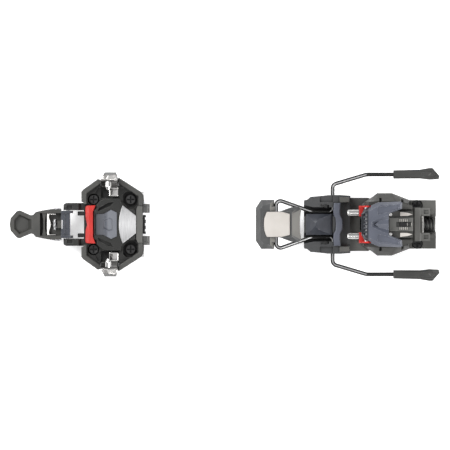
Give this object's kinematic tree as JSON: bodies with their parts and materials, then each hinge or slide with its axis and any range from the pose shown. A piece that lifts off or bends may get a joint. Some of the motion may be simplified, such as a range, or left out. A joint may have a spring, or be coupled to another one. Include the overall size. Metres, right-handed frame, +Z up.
{
  "type": "touring binding",
  "caption": "Pin touring binding for a ski: toe unit with pin jaws and hand lever, and sliding heel unit with pins, climbing aid and ski brake.",
  "frame": {"origin": "centre of the toe unit's four screws, on the mounting face", "axes": "+X from toe to heel along the ski, +Y to the left, +Z up from the ski"},
  "size_m": [0.4303, 0.1132, 0.07],
  "materials": {
    "dark_plastic": "moulded warm dark grey, fine grain",
    "grey_plastic": "moulded mid grey, fine grain",
    "black_plastic": "moulded black",
    "blue_plastic": "moulded blue grey, satin",
    "red_plastic": "moulded red, satin",
    "pale_pad": "pale wear plastic",
    "chrome": "polished plated steel",
    "steel": "brushed stainless steel",
    "spring_steel": "drawn spring wire",
    "black_steel": "black coated steel",
    "alloy": "anodised blue grey"
  },
  "bodies": {
    "toe_and_heel_base": {"toe_base": "grey_plastic", "toe_cover": "dark_plastic", "toe_screws": "black_steel", "badge_plate": "steel", "rear_bridge": "grey_plastic", "crampon_lugs": "chrome", "crampon_stop": "black_plastic", "jaw_axles": "steel", "lever_axle": "steel", "toe_spring_left": "spring_steel", "toe_spring_right": "spring_steel", "heel_base": "grey_plastic", "heel_screws": "black_steel", "brake_housing": "dark_plastic", "housing_wedge": "blue_plastic", "pivot_cover": "blue_plastic", "brake_spring_left": "spring_steel", "brake_spring_right": "spring_steel"},
    "toe_lever": {"lever_body": "dark_plastic", "lever_fork": "alloy", "lever_side_plates": "steel", "lever_bracket": "chrome", "lever_spring": "spring_steel", "lever_spring_pin": "steel"},
    "jaw_left": {"toe_jaw_left": "chrome", "toe_pin_left": "chrome"},
    "jaw_right": {"toe_jaw_right": "chrome", "toe_pin_right": "chrome"},
    "trigger": {"toe_trigger": "blue_plastic"},
    "toe_slide": {"toe_slider": "black_plastic", "red_slider": "red_plastic"},
    "worm": {"worm_screw": "black_steel"},
    "carriage": {"heel_carriage": "dark_plastic", "tower_cap": "dark_plastic", "cap_wedges": "pale_pad", "cap_rivets": "chrome", "release_spring": "spring_steel", "spring_plunger": "black_plastic", "walk_lever_axle": "steel"},
    "indicator": {"release_indicator": "black_plastic"},
    "setting_screw": {"release_screw": "steel"},
    "walk_switch": {"walk_lever": "dark_plastic", "walk_lever_strip": "chrome"},
    "pin_slide": {"pin_block": "red_plastic", "climbing_aid_axle": "steel"},
    "pin_left": {"heel_pin_left": "chrome"},
    "pin_right": {"heel_pin_right": "chrome"},
    "aid": {"climbing_aid": "blue_plastic"},
    "brake_arms": {"brake_wire_left": "chrome", "brake_wire_right": "chrome", "brake_grip_left": "dark_plastic", "brake_grip_right": "dark_plastic"},
    "pedal": {"brake_pedal": "dark_plastic", "pedal_pad": "pale_pad"}
  },
  "joints": [
    {"name": "toe_lever_lift", "type": "hinge", "parent": "toe_and_heel_base", "child": "toe_lever", "pos_m": [-0.0438, 0, 0.0125], "axis": [0, 1, 0], "range_deg": [0, 50]},
    {"name": "jaw_left_close", "type": "hinge", "parent": "toe_and_heel_base", "child": "jaw_left", "pos_m": [0, 0.04, 0.0105], "axis": [1, 0, 0], "range_deg": [0, 9.65]},
    {"name": "jaw_right_close", "type": "hinge", "parent": "toe_and_heel_base", "child": "jaw_right", "pos_m": [0, -0.04, 0.0105], "axis": [-1, 0, 0], "range_deg": [0, 9.65]},
    {"name": "trigger_press", "type": "slide", "parent": "toe_and_heel_base", "child": "trigger", "axis": [0, 0, -1], "range_m": [0, 0.0032]},
    {"name": "toe_slide_travel", "type": "slide", "parent": "toe_and_heel_base", "child": "toe_slide", "axis": [-1, 0, 0], "range_m": [0, 0.003]},
    {"name": "boot_length_adjust", "type": "slide", "parent": "toe_and_heel_base", "child": "carriage", "axis": [1, 0, 0], "range_m": [-0.01, 0.013]},
    {"name": "worm_turn", "type": "hinge", "parent": "toe_and_heel_base", "child": "worm", "pos_m": [0.29, 0, 0.0092], "axis": [1, 0, 0], "range_deg": [-1090, 1420]},
    {"name": "walk_switch_press", "type": "hinge", "parent": "carriage", "child": "walk_switch", "pos_m": [0.3035, 0, 0.021], "axis": [0, 1, 0], "range_deg": [0, 30]},
    {"name": "pin_retract", "type": "slide", "parent": "carriage", "child": "pin_slide", "axis": [1, 0, 0], "range_m": [0, 0.011]},
    {"name": "climbing_aid_swing", "type": "hinge", "parent": "pin_slide", "child": "aid", "pos_m": [0.253, 0, 0.0545], "axis": [0, -1, 0], "range_deg": [0, 125]},
    {"name": "pin_left_spread", "type": "slide", "parent": "pin_slide", "child": "pin_left", "axis": [0, 1, 0], "range_m": [0, 0.0028], "stiffness_N_per_m": 4000},
    {"name": "pin_right_spread", "type": "slide", "parent": "pin_slide", "child": "pin_right", "axis": [0, -1, 0], "range_m": [0, 0.0028], "stiffness_N_per_m": 4000},
    {"name": "release_setting_turn", "type": "hinge", "parent": "carriage", "child": "setting_screw", "pos_m": [0.296, 0, 0.04], "axis": [1, 0, 0], "range_deg": [-1080, 1080]},
    {"name": "release_scale_move", "type": "slide", "parent": "carriage", "child": "indicator", "axis": [1, 0, 0], "range_m": [-0.003, 0.003]},
    {"name": "brake_deploy", "type": "hinge", "parent": "toe_and_heel_base", "child": "brake_arms", "pos_m": [0.221, 0, 0.016], "axis": [0, 1, 0], "range_deg": [0, 55]},
    {"name": "pedal_tilt", "type": "hinge", "parent": "brake_arms", "child": "pedal", "pos_m": [0.1644, 0, 0.02], "axis": [0, -1, 0], "range_deg": [0, 34]}
  ],
  "couplings": [
    {"joint": "jaw_left_close", "follows": "toe_lever_lift", "ratio": 0.192},
    {"joint": "jaw_right_close", "follows": "toe_lever_lift", "ratio": 0.192},
    {"joint": "trigger_press", "follows": "toe_lever_lift", "m_per_rad": 0.0035523},
    {"joint": "toe_slide_travel", "follows": "toe_lever_lift", "m_per_rad": 0.0033232},
    {"joint": "worm_turn", "follows": "boot_length_adjust", "rad_per_m": 1875.6},
    {"joint": "walk_switch_press", "follows": "pin_retract", "rad_per_m": 47.59},
    {"joint": "release_setting_turn", "follows": "release_scale_move", "rad_per_m": 6283},
    {"joint": "pin_right_spread", "follows": "pin_left_spread", "ratio": 1},
    {"joint": "pedal_tilt", "follows": "brake_deploy", "ratio": 0.6}
  ]
}
